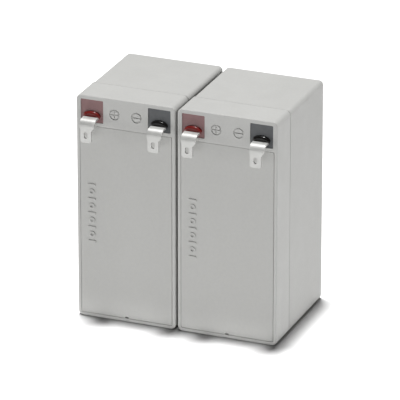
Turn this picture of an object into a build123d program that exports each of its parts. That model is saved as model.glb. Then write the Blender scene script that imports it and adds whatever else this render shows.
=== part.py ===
from build123d import *
import os

os.makedirs("parts", exist_ok=True)

# Two sealed lead-acid blocks standing on end, side by side. Millimetres. +Z is up, the terminal
# face (the lid) looks along -Y, and depths are counted backwards from the lid's front face.

# whole block
BLOCK_WIDTH = 43.0
BLOCK_HEIGHT = 97.0
BLOCK_DEPTH = 53.0
BLOCK_GAP = 1.0
TAB_REACH = 5.5
FACE_Y = TAB_REACH - (BLOCK_DEPTH + TAB_REACH) / 2
BLOCK_MIDDLE = BLOCK_HEIGHT / 2
BLOCK_SPACING = BLOCK_WIDTH + BLOCK_GAP

# container
SIDE_STEP = 0.15
TOP_STEP = 0.5
SEAM_WIDTH = 0.35
SEAM_SIDE_SINK = 0.45
SEAM_END_SINK = 0.04
COLLAR_LENGTH = 0.8
RIM_DEPTH = 14.2
COLLAR_DEPTH = RIM_DEPTH + SEAM_WIDTH + COLLAR_LENGTH
CONTAINER_WIDTH = BLOCK_WIDTH - 2 * SIDE_STEP
CONTAINER_TOP = BLOCK_HEIGHT - TOP_STEP
CONTAINER_CORNER = 1.9
CONTAINER_END_EDGE = 1.2
CELL_INSET = 2.9
WALL_LINE_INSET = 1.625
BOTTOM_WALL = 2.0
PARTITION = 1.2
COLUMNS = 2
ROWS = 3
CELL_WIDTH = (BLOCK_WIDTH - 2 * CELL_INSET - PARTITION) / COLUMNS
CELL_HEIGHT = (BLOCK_HEIGHT - 2 * CELL_INSET - 2 * PARTITION) / ROWS
COLUMN_PITCH = CELL_WIDTH + PARTITION
ROW_PITCH = CELL_HEIGHT + PARTITION
CELL_FLOOR_DEPTH = BLOCK_DEPTH - BOTTOM_WALL
WALL_LINE_WIDTH = BLOCK_WIDTH - 2 * WALL_LINE_INSET
WALL_LINE_HEIGHT = BLOCK_HEIGHT - 2 * WALL_LINE_INSET
TONGUE_WIDTH = 0.9
TONGUE_HEIGHT = 2.0
GATE_RADIUS = 1.5
GATE_SINK = 0.25

# lid
LID_CORNER = 2.2
LID_FRONT_EDGE = 0.5
LID_FLOOR_FRONT = 8.0
LID_FLOOR_BACK = 10.0
GROOVE_WIDTH = 1.4
GROOVE_DEPTH = 3.0
CUT_OVERRUN = 1.0

# cover plate and the shallow seat that it lies in
SEAT_MARGIN = 1.35
SEAT_BOTTOM = 1.5
SEAT_TOP = 84.1
SEAT_CORNER = 0.7
SEAT_DEPTH = 1.4
SEAT_WIDTH = BLOCK_WIDTH - 2 * SEAT_MARGIN
SEAT_HEIGHT = SEAT_TOP - SEAT_BOTTOM
SEAT_MIDDLE = (SEAT_TOP + SEAT_BOTTOM) / 2
SEAT_LEDGE = 2.2
CHAMBER_CORNER = 1.5
PLATE_SIDE_GAP = 0.14
PLATE_END_GAP = 0.09
PLATE_SHIFT = -0.06
PLATE_SINK = 0.05
PLATE_EDGE = 0.12
VENT_NOTCH_WIDTH = 1.6
VENT_NOTCH_HEIGHT = 0.6
VENT_CHANNEL_DEPTH = 0.6
MARK_RELIEF = 0.3
CODE_OFFSET = -15.0
CODE_BOTTOM = 33.6
CODE_PITCH = 3.1
CODE_COUNT = 9
CODE_RING_RADIUS = 1.25
CODE_RING_LINE = 0.6
CODE_BAR_WIDTH = 3.2
CODE_BAR_HEIGHT = 0.8

# relief valves
VALVE_PITCH = 29.0
STEM_RADIUS = 2.45
STEM_BORE_RADIUS = 1.2
STEM_TIP_DEPTH = 3.3
CAP_RADIUS = 3.7
CAP_BORE_RADIUS = 2.5
CAP_FRONT_DEPTH = 2.0
CAP_BACK_DEPTH = 6.6
CAP_EDGE = 0.5
CAP_RIM_RADIUS = 4.1
CAP_RIM_HEIGHT = 0.8

# terminal pockets
POCKET_WIDTH = 9.8
POCKET_HEIGHT = 9.7
POCKET_TOP_MARGIN = 1.7
POCKET_SIDE_MARGIN = 1.95
POCKET_DEPTH = 1.8
POCKET_CORNER = 0.4
POCKET_OFFSET = (BLOCK_WIDTH - POCKET_WIDTH) / 2 - POCKET_SIDE_MARGIN
POCKET_MIDDLE = BLOCK_HEIGHT - POCKET_TOP_MARGIN - POCKET_HEIGHT / 2
MARKER_THICKNESS = 1.6
MARKER_GAP = 0.05
RESIN_X_RADIUS = 3.7
RESIN_Z_RADIUS = 1.95
RESIN_Z = 88.6
RESIN_REACH = 1.1
RESIN_END_DEPTH = 7.0
RESIN_DOME = 0.95

# polarity signs
SIGN_OFFSET = 4.8
SIGN_Z = BLOCK_HEIGHT - 6.8
SIGN_RADIUS = 2.25
SIGN_LINE = 0.45
SIGN_BAR = 2 * SIGN_RADIUS - SIGN_LINE
SIGN_DEPTH = 0.35

# flat push-on tabs
TAB_THICKNESS = 0.8
TAB_Z = 87.9
TAB_BEND_RADIUS = 2.5
TAB_FOOT_DEPTH = 3.5
TAB_FOOT_WIDTH = 5.0
TAB_FOOT_STEP = 0.4
SHOULDER_WIDTH = 6.4
SHOULDER_Z = 85.4
SHOULDER_TAPER = 1.8
BLADE_WIDTH = 4.75
BLADE_OFFSET = -0.5
BLADE_TIP_Z = 78.6
BLADE_TIP_CHAMFER = 0.7
BLADE_LEAD_IN = 0.25
BLADE_SLOT_LENGTH = 2.8
BLADE_SLOT_WIDTH = 1.6
BLADE_SLOT_Z = 81.8

# posts, straps and connectors
POST_RADIUS = 1.9
POST_BORE_RADIUS = 1.95
STRAP_OFFSET = 9.3
STRAP_WIDTH = 16.4
STRAP_HEIGHT = 5.0
STRAP_FRONT_DEPTH = 15.2
STRAP_BACK_DEPTH = 17.8
CONNECTOR_WIDTH = 5.2
ROW_CONNECTOR_LENGTH = ROW_PITCH - 2 * STRAP_OFFSET - STRAP_HEIGHT
COLUMN_CONNECTOR_LENGTH = COLUMN_PITCH - STRAP_WIDTH

# plate packs
PLATE_WIDTH = 28.0
PLATE_FRONT_DEPTH = 20.5
PLATE_BACK_DEPTH = 50.4
LUG_WIDTH = 4.0
POSITIVE_COUNT = 3
NEGATIVE_COUNT = 4
POSITIVE_THICKNESS = 1.8
NEGATIVE_THICKNESS = 1.4
MAT_THICKNESS = 1.1
MAT_WIDTH = 28.8
MAT_FOLD = 0.5
MAT_FRONT_DEPTH = 19.0
STACK_PITCH = POSITIVE_THICKNESS + NEGATIVE_THICKNESS + 2 * MAT_THICKNESS


def face_plane(depth):
    """The plane parallel to the lid's front face, this far behind it, looking forwards."""
    return Plane.XZ.offset(-(FACE_Y + depth))


def save(builder, name):
    """Labels one piece and writes it to its own file."""
    builder.part.label = name
    export_step(builder.part, "parts/" + name + ".step")


def row_connector_centres(x_mid):
    """Where the four connectors cross the partitions between rows."""
    columns = (x_mid - COLUMN_PITCH / 2, x_mid + COLUMN_PITCH / 2)
    rows = (BLOCK_MIDDLE - ROW_PITCH / 2, BLOCK_MIDDLE + ROW_PITCH / 2)
    return [(x, z) for x in columns for z in rows]


def column_connector_centre(x_mid):
    """Where the connector between the two columns crosses, at the foot of the bottom row."""
    return (x_mid, BLOCK_MIDDLE - ROW_PITCH - STRAP_OFFSET)


def cell_centres(x_mid, side):
    """The three cells of the left (-1) or right (+1) column."""
    return [(x_mid + side * COLUMN_PITCH / 2, BLOCK_MIDDLE + row * ROW_PITCH) for row in (-1, 0, 1)]


def make_container(prefix, x_mid):
    with BuildPart() as container:
        with BuildSketch(face_plane(BLOCK_DEPTH)):
            with Locations((x_mid, CONTAINER_TOP / 2)):
                RectangleRounded(CONTAINER_WIDTH, CONTAINER_TOP, CONTAINER_CORNER)
        extrude(amount=BLOCK_DEPTH - COLLAR_DEPTH)
        fillet(container.faces().sort_by(Axis.Y)[-1].edges(), CONTAINER_END_EDGE)
        # collar level with the lid, and a rim that leaves a thin seam, sunk along the sides only
        with BuildSketch(face_plane(COLLAR_DEPTH)):
            with Locations((x_mid, BLOCK_MIDDLE)):
                RectangleRounded(BLOCK_WIDTH, BLOCK_HEIGHT, LID_CORNER)
        extrude(amount=COLLAR_LENGTH)
        with BuildSketch(face_plane(RIM_DEPTH + SEAM_WIDTH)):
            with Locations((x_mid, BLOCK_MIDDLE)):
                RectangleRounded(
                    BLOCK_WIDTH - 2 * SEAM_SIDE_SINK,
                    BLOCK_HEIGHT - 2 * SEAM_END_SINK,
                    LID_CORNER - SEAM_SIDE_SINK,
                )
        extrude(amount=SEAM_WIDTH)
        with BuildSketch(face_plane(CELL_FLOOR_DEPTH)):
            with Locations((x_mid, BLOCK_MIDDLE)):
                with GridLocations(COLUMN_PITCH, ROW_PITCH, COLUMNS, ROWS):
                    Rectangle(CELL_WIDTH, CELL_HEIGHT)
        extrude(amount=CELL_FLOOR_DEPTH - RIM_DEPTH + CUT_OVERRUN, mode=Mode.SUBTRACT)
        with BuildSketch(face_plane(RIM_DEPTH)):
            with Locations((x_mid, BLOCK_MIDDLE)):
                Rectangle(WALL_LINE_WIDTH + TONGUE_WIDTH, WALL_LINE_HEIGHT + TONGUE_WIDTH)
                Rectangle(
                    WALL_LINE_WIDTH - TONGUE_WIDTH, WALL_LINE_HEIGHT - TONGUE_WIDTH, mode=Mode.SUBTRACT
                )
        extrude(amount=TONGUE_HEIGHT)
        # notches that let the cell connectors over the partitions
        with BuildSketch(face_plane(STRAP_BACK_DEPTH)):
            with Locations(*row_connector_centres(x_mid)):
                Rectangle(CONNECTOR_WIDTH, 2 * PARTITION)
            with Locations(column_connector_centre(x_mid)):
                Rectangle(2 * PARTITION, CONNECTOR_WIDTH)
        extrude(amount=STRAP_BACK_DEPTH - RIM_DEPTH, mode=Mode.SUBTRACT)
        # gate mark of the moulding
        with BuildSketch(face_plane(BLOCK_DEPTH)):
            with Locations((x_mid, BLOCK_MIDDLE)):
                Circle(GATE_RADIUS)
        extrude(amount=GATE_SINK, mode=Mode.SUBTRACT)
    save(container, prefix + "container")


def make_lid(prefix, x_mid):
    with BuildPart() as lid:
        with BuildSketch(face_plane(RIM_DEPTH)):
            with Locations((x_mid, BLOCK_MIDDLE)):
                RectangleRounded(BLOCK_WIDTH, BLOCK_HEIGHT, LID_CORNER)
        extrude(amount=RIM_DEPTH)
        fillet(lid.faces().sort_by(Axis.Y)[0].edges(), LID_FRONT_EDGE)
        # hollow behind the lid's floor, one pocket over each cell
        with BuildSketch(face_plane(RIM_DEPTH)):
            with Locations((x_mid, BLOCK_MIDDLE)):
                with GridLocations(COLUMN_PITCH, ROW_PITCH, COLUMNS, ROWS):
                    Rectangle(CELL_WIDTH, CELL_HEIGHT)
        extrude(amount=RIM_DEPTH - LID_FLOOR_BACK, mode=Mode.SUBTRACT)
        with BuildSketch(face_plane(RIM_DEPTH)):
            with Locations((x_mid, BLOCK_MIDDLE)):
                Rectangle(WALL_LINE_WIDTH + GROOVE_WIDTH, WALL_LINE_HEIGHT + GROOVE_WIDTH)
                Rectangle(
                    WALL_LINE_WIDTH - GROOVE_WIDTH, WALL_LINE_HEIGHT - GROOVE_WIDTH, mode=Mode.SUBTRACT
                )
        extrude(amount=GROOVE_DEPTH, mode=Mode.SUBTRACT)
        # seat for the cover plate, and the vent chamber behind it
        with BuildSketch(face_plane(SEAT_DEPTH)):
            with Locations((x_mid, SEAT_MIDDLE)):
                RectangleRounded(SEAT_WIDTH, SEAT_HEIGHT, SEAT_CORNER)
        extrude(amount=SEAT_DEPTH + CUT_OVERRUN, mode=Mode.SUBTRACT)
        with BuildSketch(face_plane(LID_FLOOR_FRONT)):
            with Locations((x_mid, SEAT_MIDDLE)):
                RectangleRounded(
                    SEAT_WIDTH - 2 * SEAT_LEDGE, SEAT_HEIGHT - 2 * SEAT_LEDGE, CHAMBER_CORNER
                )
        extrude(amount=LID_FLOOR_FRONT - SEAT_DEPTH, mode=Mode.SUBTRACT)
        # channel across the ledge that lets gas out to the notch in the cover plate
        with BuildSketch(face_plane(SEAT_DEPTH + VENT_CHANNEL_DEPTH)):
            with Locations((x_mid, SEAT_BOTTOM + PLATE_END_GAP)):
                Rectangle(
                    VENT_NOTCH_WIDTH, SEAT_LEDGE + CUT_OVERRUN, align=(Align.CENTER, Align.MIN)
                )
        extrude(amount=VENT_CHANNEL_DEPTH, mode=Mode.SUBTRACT)
        # valve stems
        with BuildSketch(face_plane(LID_FLOOR_FRONT)):
            with Locations((x_mid, SEAT_MIDDLE)):
                with GridLocations(COLUMN_PITCH, VALVE_PITCH, COLUMNS, ROWS):
                    Circle(STEM_RADIUS)
        extrude(amount=LID_FLOOR_FRONT - STEM_TIP_DEPTH)
        with BuildSketch(face_plane(LID_FLOOR_BACK)):
            with Locations((x_mid, SEAT_MIDDLE)):
                with GridLocations(COLUMN_PITCH, VALVE_PITCH, COLUMNS, ROWS):
                    Circle(STEM_BORE_RADIUS)
        extrude(amount=LID_FLOOR_BACK - STEM_TIP_DEPTH, mode=Mode.SUBTRACT)
        # terminal pockets, resin wells and post bores
        with BuildSketch(face_plane(POCKET_DEPTH)):
            with Locations((x_mid, POCKET_MIDDLE)):
                with GridLocations(2 * POCKET_OFFSET, POCKET_HEIGHT, COLUMNS, 1):
                    RectangleRounded(POCKET_WIDTH, POCKET_HEIGHT, POCKET_CORNER)
        extrude(amount=POCKET_DEPTH + CUT_OVERRUN, mode=Mode.SUBTRACT)
        with BuildSketch(face_plane(RESIN_END_DEPTH)):
            with Locations((x_mid, RESIN_Z)):
                with GridLocations(2 * POCKET_OFFSET, 2 * RESIN_Z_RADIUS, COLUMNS, 1):
                    Ellipse(RESIN_X_RADIUS, RESIN_Z_RADIUS)
        extrude(amount=RESIN_END_DEPTH - POCKET_DEPTH, mode=Mode.SUBTRACT)
        with BuildSketch(face_plane(LID_FLOOR_BACK)):
            with Locations((x_mid, RESIN_Z)):
                with GridLocations(2 * POCKET_OFFSET, 2 * POST_BORE_RADIUS, COLUMNS, 1):
                    Circle(POST_BORE_RADIUS)
        extrude(amount=LID_FLOOR_BACK - RESIN_END_DEPTH, mode=Mode.SUBTRACT)
        # sunk polarity signs: a plus on the left, a minus on the right
        with BuildSketch(face_plane(SIGN_DEPTH)):
            with Locations((x_mid - SIGN_OFFSET, SIGN_Z), (x_mid + SIGN_OFFSET, SIGN_Z)):
                Circle(SIGN_RADIUS)
                Circle(SIGN_RADIUS - SIGN_LINE, mode=Mode.SUBTRACT)
                Rectangle(SIGN_BAR, SIGN_LINE)
            with Locations((x_mid - SIGN_OFFSET, SIGN_Z)):
                Rectangle(SIGN_LINE, SIGN_BAR)
        extrude(amount=SIGN_DEPTH + CUT_OVERRUN, mode=Mode.SUBTRACT)
    save(lid, prefix + "lid")


def make_lid_seal(prefix, x_mid):
    with BuildPart() as seal:
        with BuildSketch(face_plane(RIM_DEPTH)):
            with Locations((x_mid, BLOCK_MIDDLE)):
                Rectangle(WALL_LINE_WIDTH + GROOVE_WIDTH, WALL_LINE_HEIGHT + GROOVE_WIDTH)
                Rectangle(
                    WALL_LINE_WIDTH - GROOVE_WIDTH, WALL_LINE_HEIGHT - GROOVE_WIDTH, mode=Mode.SUBTRACT
                )
        extrude(amount=GROOVE_DEPTH)
        with BuildSketch(face_plane(RIM_DEPTH)):
            with Locations((x_mid, BLOCK_MIDDLE)):
                Rectangle(WALL_LINE_WIDTH + TONGUE_WIDTH, WALL_LINE_HEIGHT + TONGUE_WIDTH)
                Rectangle(
                    WALL_LINE_WIDTH - TONGUE_WIDTH, WALL_LINE_HEIGHT - TONGUE_WIDTH, mode=Mode.SUBTRACT
                )
        extrude(amount=TONGUE_HEIGHT, mode=Mode.SUBTRACT)
    save(seal, prefix + "lid_seal")


def make_cover_plate(prefix, x_mid):
    with BuildPart() as plate:
        with BuildSketch(face_plane(SEAT_DEPTH)):
            with Locations((x_mid + PLATE_SHIFT, SEAT_MIDDLE)):
                RectangleRounded(
                    SEAT_WIDTH - 2 * PLATE_SIDE_GAP,
                    SEAT_HEIGHT - 2 * PLATE_END_GAP,
                    SEAT_CORNER - PLATE_END_GAP,
                )
        extrude(amount=SEAT_DEPTH - PLATE_SINK)
        chamfer(plate.faces().sort_by(Axis.Y)[0].edges(), PLATE_EDGE)
        with BuildSketch(face_plane(SEAT_DEPTH)):
            with Locations((x_mid, SEAT_BOTTOM + PLATE_END_GAP)):
                Rectangle(VENT_NOTCH_WIDTH, 2 * VENT_NOTCH_HEIGHT)
        extrude(amount=SEAT_DEPTH, mode=Mode.SUBTRACT)
        # plain raised bars and rings where the maker's code would be
        code_x = x_mid + CODE_OFFSET
        rows = [CODE_BOTTOM + i * CODE_PITCH for i in range(CODE_COUNT)]
        with BuildSketch(face_plane(PLATE_SINK)):
            with Locations(*[(code_x, z) for z in rows[::2]]):
                Rectangle(CODE_BAR_WIDTH, CODE_BAR_HEIGHT)
            with Locations(*[(code_x, z) for z in rows[1::2]]):
                Circle(CODE_RING_RADIUS)
                Circle(CODE_RING_RADIUS - CODE_RING_LINE, mode=Mode.SUBTRACT)
        extrude(amount=MARK_RELIEF)
    save(plate, prefix + "cover_plate")


def make_valve_caps(prefix, x_mid):
    columns = (x_mid - COLUMN_PITCH / 2, x_mid + COLUMN_PITCH / 2)
    rows = (SEAT_MIDDLE + VALVE_PITCH, SEAT_MIDDLE, SEAT_MIDDLE - VALVE_PITCH)
    centres = [(x, z) for z in rows for x in columns]
    for number, centre in enumerate(centres, start=1):
        with BuildPart() as cap:
            with BuildSketch(face_plane(CAP_BACK_DEPTH)):
                with Locations(centre):
                    Circle(CAP_RADIUS)
            extrude(amount=CAP_BACK_DEPTH - CAP_FRONT_DEPTH)
            fillet(cap.faces().sort_by(Axis.Y)[0].edges(), CAP_EDGE)
            with BuildSketch(face_plane(CAP_BACK_DEPTH)):
                with Locations(centre):
                    Circle(CAP_RIM_RADIUS)
            extrude(amount=CAP_RIM_HEIGHT)
            with BuildSketch(face_plane(CAP_BACK_DEPTH)):
                with Locations(centre):
                    Circle(CAP_BORE_RADIUS)
            extrude(amount=CAP_BACK_DEPTH - STEM_TIP_DEPTH, mode=Mode.SUBTRACT)
        save(cap, prefix + "valve_cap_" + str(number))


def make_terminal(prefix, x_tab):
    """One terminal: lead post, tinned tab, coloured pocket insert and the resin round them."""
    bend_y = FACE_Y - TAB_REACH + TAB_THICKNESS / 2 + TAB_BEND_RADIUS
    bend_z = TAB_Z - TAB_BEND_RADIUS
    bend_outside = TAB_BEND_RADIUS + TAB_THICKNESS / 2
    bend_inside = TAB_BEND_RADIUS - TAB_THICKNESS / 2
    with BuildPart() as tab:
        with BuildSketch(Plane.YZ.offset(x_tab - SHOULDER_WIDTH / 2)):
            with Locations((bend_y, bend_z)):
                Circle(bend_outside)
                Circle(bend_inside, mode=Mode.SUBTRACT)
                Rectangle(
                    bend_outside, bend_outside, align=(Align.MAX, Align.MIN), mode=Mode.INTERSECT
                )
            with Locations((bend_y, TAB_Z)):
                Rectangle(
                    FACE_Y + TAB_FOOT_DEPTH - bend_y, TAB_THICKNESS, align=(Align.MIN, Align.CENTER)
                )
            with Locations((bend_y - TAB_BEND_RADIUS, bend_z)):
                Rectangle(TAB_THICKNESS, bend_z - BLADE_TIP_Z, align=(Align.CENTER, Align.MAX))
        extrude(amount=SHOULDER_WIDTH)
        # the blade below the shoulders is narrower and nearer to the strip's left edge
        with BuildSketch(face_plane(-TAB_REACH + TAB_THICKNESS)):
            for side in (-1, 1):
                blade_edge = x_tab + BLADE_OFFSET + side * BLADE_WIDTH / 2
                with BuildLine():
                    Polyline(
                        (x_tab + side * SHOULDER_WIDTH, BLADE_TIP_Z - CUT_OVERRUN),
                        (blade_edge, BLADE_TIP_Z - CUT_OVERRUN),
                        (blade_edge, SHOULDER_Z - SHOULDER_TAPER),
                        (x_tab + side * SHOULDER_WIDTH / 2, SHOULDER_Z),
                        (x_tab + side * SHOULDER_WIDTH, SHOULDER_Z),
                        close=True,
                    )
                make_face()
            with Locations((x_tab + BLADE_OFFSET, BLADE_SLOT_Z)):
                SlotOverall(BLADE_SLOT_LENGTH, BLADE_SLOT_WIDTH, rotation=90)
        extrude(amount=TAB_THICKNESS, mode=Mode.SUBTRACT)
        # so is the foot inside the resin
        with BuildSketch(face_plane(TAB_FOOT_DEPTH)):
            with Locations((x_tab, TAB_Z)):
                Rectangle(SHOULDER_WIDTH, TAB_THICKNESS)
                Rectangle(TAB_FOOT_WIDTH, TAB_THICKNESS, mode=Mode.SUBTRACT)
        extrude(amount=TAB_FOOT_DEPTH + TAB_FOOT_STEP, mode=Mode.SUBTRACT)
        chamfer(tab.edges().filter_by(Axis.Y).sort_by(Axis.Z)[:2], BLADE_TIP_CHAMFER)
        chamfer(tab.faces().sort_by(Axis.Z)[0].edges().filter_by(Axis.X), BLADE_LEAD_IN)
    save(tab, prefix + "tab")

    with BuildPart() as post:
        with BuildSketch(face_plane(STRAP_FRONT_DEPTH)):
            with Locations((x_tab, RESIN_Z)):
                Circle(POST_RADIUS)
        extrude(amount=STRAP_FRONT_DEPTH - TAB_FOOT_DEPTH)
    save(post, prefix + "post")

    with BuildPart() as marker:
        with BuildSketch(face_plane(POCKET_DEPTH)):
            with Locations((x_tab, POCKET_MIDDLE)):
                RectangleRounded(
                    POCKET_WIDTH - 2 * MARKER_GAP,
                    POCKET_HEIGHT - 2 * MARKER_GAP,
                    POCKET_CORNER - MARKER_GAP,
                )
            with Locations((x_tab, RESIN_Z)):
                Ellipse(RESIN_X_RADIUS, RESIN_Z_RADIUS, mode=Mode.SUBTRACT)
        extrude(amount=MARKER_THICKNESS)
    save(marker, prefix + "marker")

    with BuildPart() as resin:
        with BuildSketch(face_plane(RESIN_END_DEPTH)):
            with Locations((x_tab, RESIN_Z)):
                Ellipse(RESIN_X_RADIUS, RESIN_Z_RADIUS)
        extrude(amount=RESIN_END_DEPTH + RESIN_REACH)
        fillet(resin.faces().sort_by(Axis.Y)[0].edges(), RESIN_DOME)
        add(tab.part, mode=Mode.SUBTRACT)
        add(post.part, mode=Mode.SUBTRACT)
    save(resin, prefix + "resin")


def make_straps(prefix, x_mid, polarity):
    """Straps of one polarity: at the upper lugs in one column and the lower lugs in the other."""
    upper = [(x, z + STRAP_OFFSET) for x, z in cell_centres(x_mid, -polarity)]
    lower = [(x, z - STRAP_OFFSET) for x, z in cell_centres(x_mid, polarity)]
    with BuildPart() as straps:
        with BuildSketch(face_plane(STRAP_BACK_DEPTH)):
            with Locations(*upper, *lower):
                Rectangle(STRAP_WIDTH, STRAP_HEIGHT)
        extrude(amount=STRAP_BACK_DEPTH - STRAP_FRONT_DEPTH)
    save(straps, prefix + "straps")


def make_plates(prefix, x_mid, polarity, count, thickness):
    """Six stacks of pasted plates of one polarity, each plate with its lug up to the strap."""
    stack = [(i - (count - 1) / 2) * STACK_PITCH for i in range(count)]
    with BuildPart() as plates:
        for side in (-1, 1):
            lug_offset = -side * polarity * STRAP_OFFSET
            cells = cell_centres(x_mid, side)
            with BuildSketch(face_plane(PLATE_BACK_DEPTH)):
                with Locations(*[(x + step, z) for x, z in cells for step in stack]):
                    Rectangle(thickness, PLATE_WIDTH)
            extrude(amount=PLATE_BACK_DEPTH - PLATE_FRONT_DEPTH)
            with BuildSketch(face_plane(PLATE_FRONT_DEPTH)):
                with Locations(*[(x + step, z + lug_offset) for x, z in cells for step in stack]):
                    Rectangle(thickness, LUG_WIDTH)
            extrude(amount=PLATE_FRONT_DEPTH - STRAP_BACK_DEPTH)
    save(plates, prefix + "plates")


def make_separators(prefix, x_mid):
    """Glass mats, each folded round the far end of one positive plate."""
    stack = [(i - (POSITIVE_COUNT - 1) / 2) * STACK_PITCH for i in range(POSITIVE_COUNT)]
    cells = cell_centres(x_mid, -1) + cell_centres(x_mid, 1)
    centres = [(x + step, z) for x, z in cells for step in stack]
    with BuildPart() as mats:
        with BuildSketch(face_plane(PLATE_BACK_DEPTH + MAT_FOLD)):
            with Locations(*centres):
                Rectangle(POSITIVE_THICKNESS + 2 * MAT_THICKNESS, MAT_WIDTH)
        extrude(amount=PLATE_BACK_DEPTH + MAT_FOLD - MAT_FRONT_DEPTH)
        with BuildSketch(face_plane(PLATE_BACK_DEPTH)):
            with Locations(*centres):
                Rectangle(POSITIVE_THICKNESS, MAT_WIDTH)
        extrude(amount=PLATE_BACK_DEPTH - MAT_FRONT_DEPTH, mode=Mode.SUBTRACT)
    save(mats, prefix + "separators")


def make_connectors(prefix, x_mid):
    with BuildPart() as connectors:
        with BuildSketch(face_plane(STRAP_BACK_DEPTH)):
            with Locations(*row_connector_centres(x_mid)):
                Rectangle(CONNECTOR_WIDTH, ROW_CONNECTOR_LENGTH)
            with Locations(column_connector_centre(x_mid)):
                Rectangle(COLUMN_CONNECTOR_LENGTH, CONNECTOR_WIDTH)
        extrude(amount=STRAP_BACK_DEPTH - RIM_DEPTH)
    save(connectors, prefix + "cell_connectors")


for block, x_block in (("left_", -BLOCK_SPACING / 2), ("right_", BLOCK_SPACING / 2)):
    make_container(block, x_block)
    make_lid(block, x_block)
    make_lid_seal(block, x_block)
    make_cover_plate(block, x_block)
    make_valve_caps(block, x_block)
    make_terminal(block + "positive_", x_block - POCKET_OFFSET)
    make_terminal(block + "negative_", x_block + POCKET_OFFSET)
    make_straps(block + "positive_", x_block, 1)
    make_straps(block + "negative_", x_block, -1)
    make_plates(block + "positive_", x_block, 1, POSITIVE_COUNT, POSITIVE_THICKNESS)
    make_plates(block + "negative_", x_block, -1, NEGATIVE_COUNT, NEGATIVE_THICKNESS)
    make_separators(block, x_block)
    make_connectors(block, x_block)
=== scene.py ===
import bpy
import math
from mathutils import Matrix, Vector

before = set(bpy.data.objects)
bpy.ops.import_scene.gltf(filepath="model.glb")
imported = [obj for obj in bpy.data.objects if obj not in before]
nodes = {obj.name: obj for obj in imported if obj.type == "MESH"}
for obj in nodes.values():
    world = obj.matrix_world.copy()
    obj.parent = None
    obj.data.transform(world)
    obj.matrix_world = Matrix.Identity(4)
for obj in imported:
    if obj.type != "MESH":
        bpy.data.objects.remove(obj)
SIDES = ("left", "right")
CELLS = range(1, 7)
scene = bpy.context.scene


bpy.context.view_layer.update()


# ---------------------------------------------------------------- materials

# noise stays mostly between these two, so tones and roughness are spread over them
NOISE_LOW, NOISE_HIGH = 0.3, 0.7

# heights of surface grain, in metres
FINE_GRAIN = 0.00004
FIRM_GRAIN = 0.00005
MEDIUM_GRAIN = 0.00008
COARSE_GRAIN = 0.0001
RIPPLE = 0.00015

# how far a rough mass's roughness varies up and down
ROUGHNESS_SWING = 0.08

# sockets of a node that mixes colours
MIX_AMOUNT, MIX_A, MIX_B, MIX_RESULT = 0, 6, 7, 2


class Shader:
    """A material with a principled shader, and short ways to add nodes to it."""

    def __init__(self, name, color, roughness, metallic=0.0, specular=0.5):
        self.material = bpy.data.materials.new(name)
        self.material.use_nodes = True
        self.tree = self.material.node_tree
        self.main = self.tree.nodes["Principled BSDF"]
        self.main.inputs["Base Color"].default_value = (*color, 1)
        self.main.inputs["Roughness"].default_value = roughness
        self.main.inputs["Metallic"].default_value = metallic
        self.main.inputs["Specular IOR Level"].default_value = specular

    def node(self, kind):
        return self.tree.nodes.new(kind)

    def link(self, source, target):
        self.tree.links.new(source, target)

    def noise(self, scale, detail=2.0, roughness=0.5, stretch=(1, 1, 1)):
        """Noise fixed to the object; a stretch under 1 draws it out along that axis."""
        place = self.node("ShaderNodeTexCoord")
        spread = self.node("ShaderNodeMapping")
        spread.inputs["Scale"].default_value = stretch
        made = self.node("ShaderNodeTexNoise")
        made.inputs["Scale"].default_value = scale
        made.inputs["Detail"].default_value = detail
        made.inputs["Roughness"].default_value = roughness
        self.link(place.outputs["Object"], spread.inputs["Vector"])
        self.link(spread.outputs["Vector"], made.inputs["Vector"])
        return made.outputs["Fac"]

    def tones(self, source, dark, light, low=NOISE_LOW, high=NOISE_HIGH):
        """A colour that goes from dark, where the noise is low, to light, where it is high."""
        made = self.node("ShaderNodeValToRGB")
        for element, at, color in zip(made.color_ramp.elements, (low, high), (dark, light)):
            element.position = at
            element.color = (*color, 1)
        self.link(source, made.inputs["Fac"])
        return made.outputs["Color"]

    def multiply(self, color, other, amount):
        """A colour darkened by another one."""
        made = self.node("ShaderNodeMix")
        made.data_type = "RGBA"
        made.blend_type = "MULTIPLY"
        made.inputs[MIX_AMOUNT].default_value = amount
        self.link(color, made.inputs[MIX_A])
        self.link(other, made.inputs[MIX_B])
        return made.outputs[MIX_RESULT]

    def bump(self, height, strength, distance, normal=None):
        """Grain of the given depth, on top of another grain if there is one."""
        made = self.node("ShaderNodeBump")
        made.inputs["Strength"].default_value = strength
        made.inputs["Distance"].default_value = distance
        self.link(height, made.inputs["Height"])
        if normal is not None:
            self.link(normal, made.inputs["Normal"])
        return made.outputs["Normal"]

    def set_color(self, source):
        self.link(source, self.main.inputs["Base Color"])

    def set_normal(self, source):
        self.link(source, self.main.inputs["Normal"])

    def set_roughness(self, source, smooth, rough):
        """Roughness that follows a noise between two values."""
        made = self.node("ShaderNodeMapRange")
        made.inputs["From Min"].default_value = NOISE_LOW
        made.inputs["From Max"].default_value = NOISE_HIGH
        made.inputs["To Min"].default_value = smooth
        made.inputs["To Max"].default_value = rough
        self.link(source, made.inputs["Value"])
        self.link(made.outputs["Result"], self.main.inputs["Roughness"])


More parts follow.
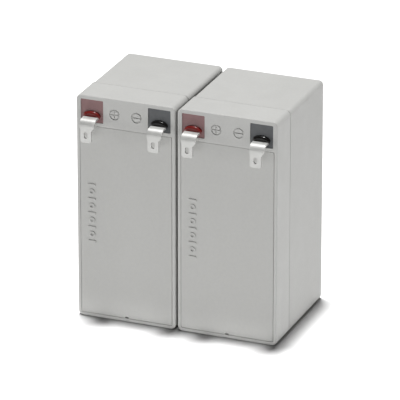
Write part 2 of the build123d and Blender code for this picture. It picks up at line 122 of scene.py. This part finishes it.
def moulded_plastic(name, dark, light, flow_scale):
    """Light grey moulded plastic: spark-eroded grain, faint flow tone, slight polish changes."""
    s = Shader(name, light, roughness=0.5, specular=0.4)
    flow = s.noise(flow_scale, detail=3, roughness=0.55, stretch=(1, 1, 0.35))
    speck = s.noise(900, detail=2, roughness=0.6)
    tone = s.tones(flow, dark, light)
    speck_tone = s.tones(speck, (0.93, 0.93, 0.93), (1, 1, 1), low=0.25, high=0.75)
    s.set_color(s.multiply(tone, speck_tone, amount=0.6))
    s.set_roughness(s.noise(160, detail=3), 0.46, 0.58)
    fine = s.bump(s.noise(2600, detail=2, roughness=0.7), 0.22, FINE_GRAIN)
    s.set_normal(s.bump(s.noise(420, detail=3), 0.12, MEDIUM_GRAIN, fine))
    return s.material


def tin():
    """Dull tin plate on brass, with faint draw lines along the strip."""
    s = Shader("tin_plate", (0.56, 0.56, 0.545), roughness=0.48, metallic=0.4)
    lines = s.noise(1500, detail=2, stretch=(1, 0.08, 0.08))
    cloud = s.noise(260, detail=3)
    s.set_color(s.tones(cloud, (0.53, 0.53, 0.515), (0.6, 0.6, 0.585)))
    s.set_roughness(cloud, 0.42, 0.52)
    s.set_normal(s.bump(lines, 0.18, FINE_GRAIN))
    return s.material


def resin(name, deep, thin):
    """Glossy cast resin with small surface ripples."""
    s = Shader(name, deep, roughness=0.2, specular=0.3)
    s.set_color(s.tones(s.noise(420, detail=3), deep, thin, high=0.75))
    s.set_roughness(s.noise(300, detail=2), 0.14, 0.24)
    s.set_normal(s.bump(s.noise(520, detail=2, roughness=0.4), 0.3, RIPPLE))
    return s.material


def pocket_insert(name, dark, light):
    """Dull coloured floor of a terminal pocket."""
    s = Shader(name, dark, roughness=0.5, specular=0.4)
    s.set_color(s.tones(s.noise(350, detail=3, roughness=0.6), dark, light))
    s.set_roughness(s.noise(240, detail=2), 0.42, 0.6)
    s.set_normal(s.bump(s.noise(1800, detail=2, roughness=0.6), 0.2, FINE_GRAIN))
    return s.material


def rough_mass(name, dark, light, roughness, scale, depth, metallic=0.0):
    """Cast lead, pasted plates, rubber or glass mat, by colour, grain size and depth."""
    s = Shader(name, dark, roughness, metallic=metallic)
    grain = s.noise(scale, detail=4, roughness=0.6)
    s.set_color(s.tones(grain, dark, light))
    s.set_roughness(grain, roughness - ROUGHNESS_SWING, roughness + ROUGHNESS_SWING)
    s.set_normal(s.bump(grain, 0.4, depth))
    return s.material


looks = {
    "case": moulded_plastic("case_plastic", (0.50, 0.50, 0.485), (0.53, 0.53, 0.515), flow_scale=22),
    "lid": moulded_plastic("lid_plastic", (0.51, 0.51, 0.495), (0.54, 0.54, 0.525), flow_scale=26),
    "plate": moulded_plastic("plate_plastic", (0.475, 0.475, 0.46), (0.505, 0.505, 0.49), flow_scale=18),
    "tin": tin(),
    "red_resin": resin("red_resin", (0.14, 0.012, 0.010), (0.19, 0.020, 0.018)),
    "black_resin": resin("black_resin", (0.005, 0.0045, 0.004), (0.011, 0.010, 0.0095)),
    "red_insert": pocket_insert("red_insert", (0.225, 0.125, 0.125), (0.255, 0.145, 0.145)),
    "black_insert": pocket_insert("black_insert", (0.082, 0.086, 0.091), (0.103, 0.108, 0.113)),
    "adhesive": rough_mass(
        "lid_adhesive", (0.16, 0.15, 0.13), (0.22, 0.21, 0.18), roughness=0.35, scale=500, depth=FIRM_GRAIN
    ),
    "rubber": rough_mass(
        "valve_rubber", (0.02, 0.02, 0.02), (0.035, 0.035, 0.034), roughness=0.7, scale=900, depth=FINE_GRAIN
    ),
    "lead": rough_mass(
        "cast_lead", (0.22, 0.23, 0.25), (0.34, 0.35, 0.37),
        roughness=0.5, scale=380, depth=COARSE_GRAIN, metallic=0.8,
    ),
    "brown": rough_mass(
        "brown_paste", (0.05, 0.026, 0.018), (0.09, 0.05, 0.035),
        roughness=0.85, scale=620, depth=COARSE_GRAIN,
    ),
    "grey": rough_mass(
        "grey_paste", (0.16, 0.165, 0.17), (0.26, 0.265, 0.27), roughness=0.8, scale=620, depth=COARSE_GRAIN
    ),
    "mat": rough_mass(
        "glass_mat", (0.72, 0.72, 0.69), (0.86, 0.86, 0.83), roughness=0.9, scale=1400, depth=COARSE_GRAIN
    ),
}

look_of = {
    "container": "case",
    "lid": "lid",
    "lid_seal": "adhesive",
    "cover_plate": "plate",
    "positive_marker": "red_insert",
    "negative_marker": "black_insert",
    "positive_resin": "red_resin",
    "negative_resin": "black_resin",
    "positive_tab": "tin",
    "negative_tab": "tin",
    "positive_post": "lead",
    "negative_post": "lead",
    "positive_straps": "lead",
    "negative_straps": "lead",
    "cell_connectors": "lead",
    "positive_plates": "brown",
    "negative_plates": "grey",
    "separators": "mat",
    **{f"valve_cap_{i}": "rubber" for i in CELLS},
}

for side in SIDES:
    for part, look in look_of.items():
        mesh = nodes[f"{side}_{part}"].data
        mesh.materials.clear()
        mesh.materials.append(looks[look])


# ---------------------------------------------------------------- floor and light

floor_shader = Shader("studio_floor", (0.45, 0.45, 0.45), roughness=0.7, specular=0.2)
floor_shader.set_color(
    floor_shader.tones(floor_shader.noise(3, detail=2), (0.44, 0.44, 0.44), (0.46, 0.46, 0.46))
)
bpy.ops.mesh.primitive_plane_add(size=6, location=(0, 0, 0))
floor = bpy.context.object
floor.name = "studio_floor"
floor.data.materials.append(floor_shader.material)

world = bpy.data.worlds.new("studio")
scene.world = world
world.use_nodes = True
surround = world.node_tree.nodes["Background"]
surround.inputs["Color"].default_value = (1, 1, 1, 1)
surround.inputs["Strength"].default_value = 0.08


def softbox(name, place, aim, width, height, power):
    """A rectangular soft light, in metres and watts, that the camera doesn't see."""
    light = bpy.data.lights.new(name, "AREA")
    light.shape = "RECTANGLE"
    light.size = width
    light.size_y = height
    light.energy = power
    made = bpy.data.objects.new(name, light)
    made.location = place
    made.rotation_euler = (Vector(aim) - Vector(place)).to_track_quat("-Z", "Y").to_euler()
    made.visible_camera = False
    scene.collection.objects.link(made)
    return made


def floor_group(name, state):
    """A light group that holds the floor alone, either left out or lit alone."""
    group = bpy.data.collections.new(name)
    group.objects.link(floor)
    group.collection_objects[0].light_linking.link_state = state
    return group


MIDDLE = (0, 0.002, 0.048)
FOOT = (0, 0, 0)
softbox("overhead", place=(0.0, 0.0, 1.0), aim=MIDDLE, width=0.9, height=0.9, power=0.6)

# the key is almost straight above, a little behind and to the left; a second one in the same
# place lights the floor alone, which keeps it white with a narrow contact shadow
KEY = {"place": (-0.2, 0.2, 4.0), "aim": FOOT, "width": 0.54, "height": 0.4}
softbox("key", power=172, **KEY)
floor_key = softbox("floor_key", power=375, **KEY)
floor_key.light_linking.receiver_collection = floor_group("floor_only", "INCLUDE")

# fills for the blocks alone; two of them are thin strips along the foot, a few millimetres
# in front of it and beside it, where the contact shadow would darken the blocks
NEAR_FOOT = (0.0, 0.0, 0.002)
fills = (
    softbox(
        "front_fill", place=(-0.1, -0.32, 0.04), aim=(-0.06, 0, 0.03), width=0.4, height=0.06, power=0.012
    ),
    softbox(
        "front_foot_fill", place=(0.0, -0.03, 0.002), aim=NEAR_FOOT, width=0.09, height=0.003, power=0.0013
    ),
    softbox(
        "right_foot_fill", place=(0.05, 0.0, 0.002), aim=NEAR_FOOT, width=0.055, height=0.003, power=0.0006
    ),
    softbox("right_fill", place=(0.4, 0.0, 0.03), aim=(0, 0, 0.04), width=0.5, height=0.05, power=0.02),
    softbox("left_rim", place=(-0.9, -0.3, 0.13), aim=MIDDLE, width=0.24, height=0.18, power=2.0),
)
for fill in fills:
    fill.light_linking.receiver_collection = floor_group("all_but_floor", "EXCLUDE")


# ---------------------------------------------------------------- camera

# a long lens from the front, right and above
AZIMUTH, ELEVATION = math.radians(21.88), math.radians(22.32)
DISTANCE = 1.8999
FOCAL_PER_FRAME = 11.632
SENSOR_WIDTH = 36
target = Vector((0.0, 0.0018, 0.0476))
back = Vector((
    math.sin(AZIMUTH) * math.cos(ELEVATION),
    -math.cos(AZIMUTH) * math.cos(ELEVATION),
    math.sin(ELEVATION),
))
camera_data = bpy.data.cameras.new("camera")
camera_data.sensor_width = SENSOR_WIDTH
camera_data.lens = SENSOR_WIDTH * FOCAL_PER_FRAME
camera_data.clip_start = 0.05
camera_data.clip_end = 20
camera = bpy.data.objects.new("camera", camera_data)
camera.location = target + back * DISTANCE
camera.rotation_euler = (-back).to_track_quat("-Z", "Y").to_euler()
scene.collection.objects.link(camera)
scene.camera = camera
scene.view_settings.view_transform = "Standard"
